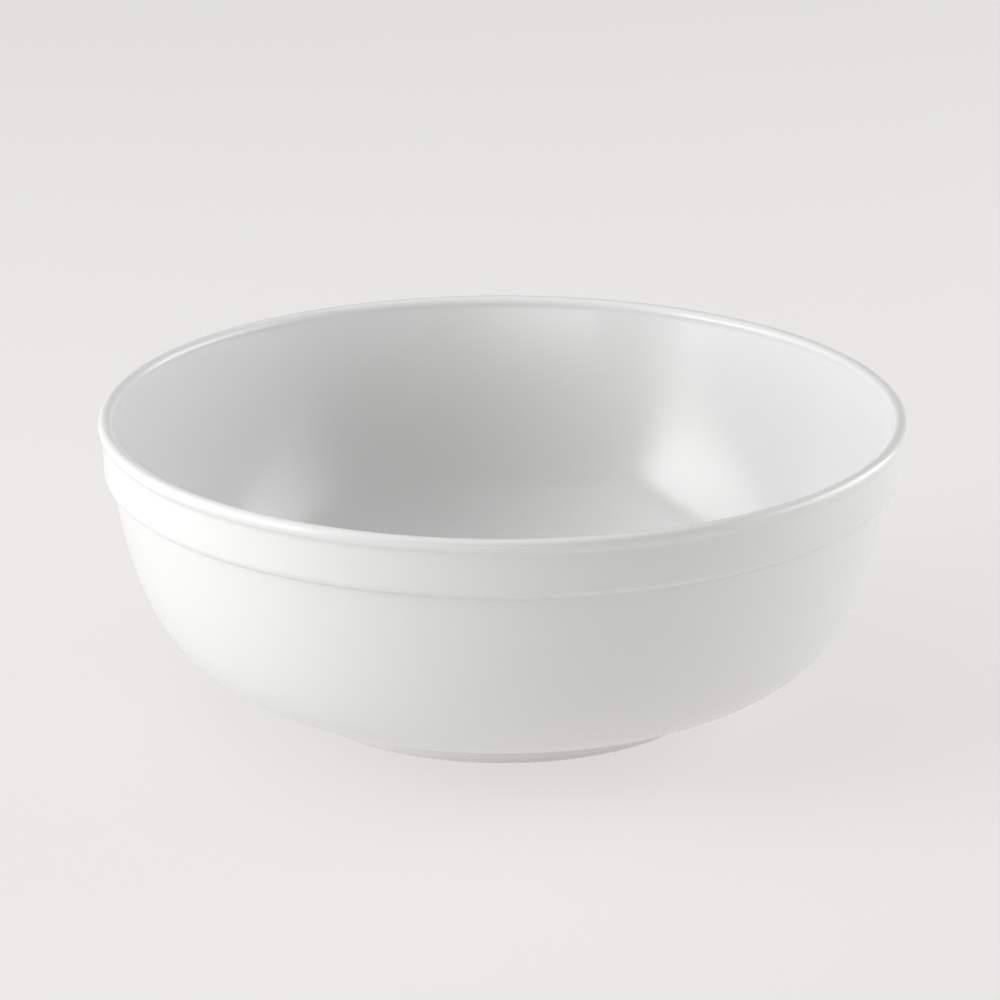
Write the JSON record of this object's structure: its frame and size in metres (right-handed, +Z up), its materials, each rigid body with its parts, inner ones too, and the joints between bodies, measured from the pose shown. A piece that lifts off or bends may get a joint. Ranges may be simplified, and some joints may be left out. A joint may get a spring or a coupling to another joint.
{
  "type": "porcelain serving bowl",
  "caption": "Round white porcelain serving bowl with a rolled lip, an upright band below it and a low foot ring.",
  "frame": {"origin": "centre of the standing edge of the foot, on the surface the bowl stands on", "axes": "+Z up along the axis of the bowl; the bowl is round, so X and Y are any two level directions"},
  "size_m": [0.26, 0.26, 0.0956],
  "materials": {
    "bare_porcelain": "matte fired porcelain, bare on the standing edge of the foot",
    "white_glaze": "clear gloss glaze over white porcelain",
    "recess_glaze": "clear gloss glaze, slightly thinner and rougher than the outside"
  },
  "bodies": {
    "root": {"porcelain_body": "bare_porcelain", "glaze_coat": "white_glaze", "foot_recess_glaze": "recess_glaze"}
  },
  "joints": []
}
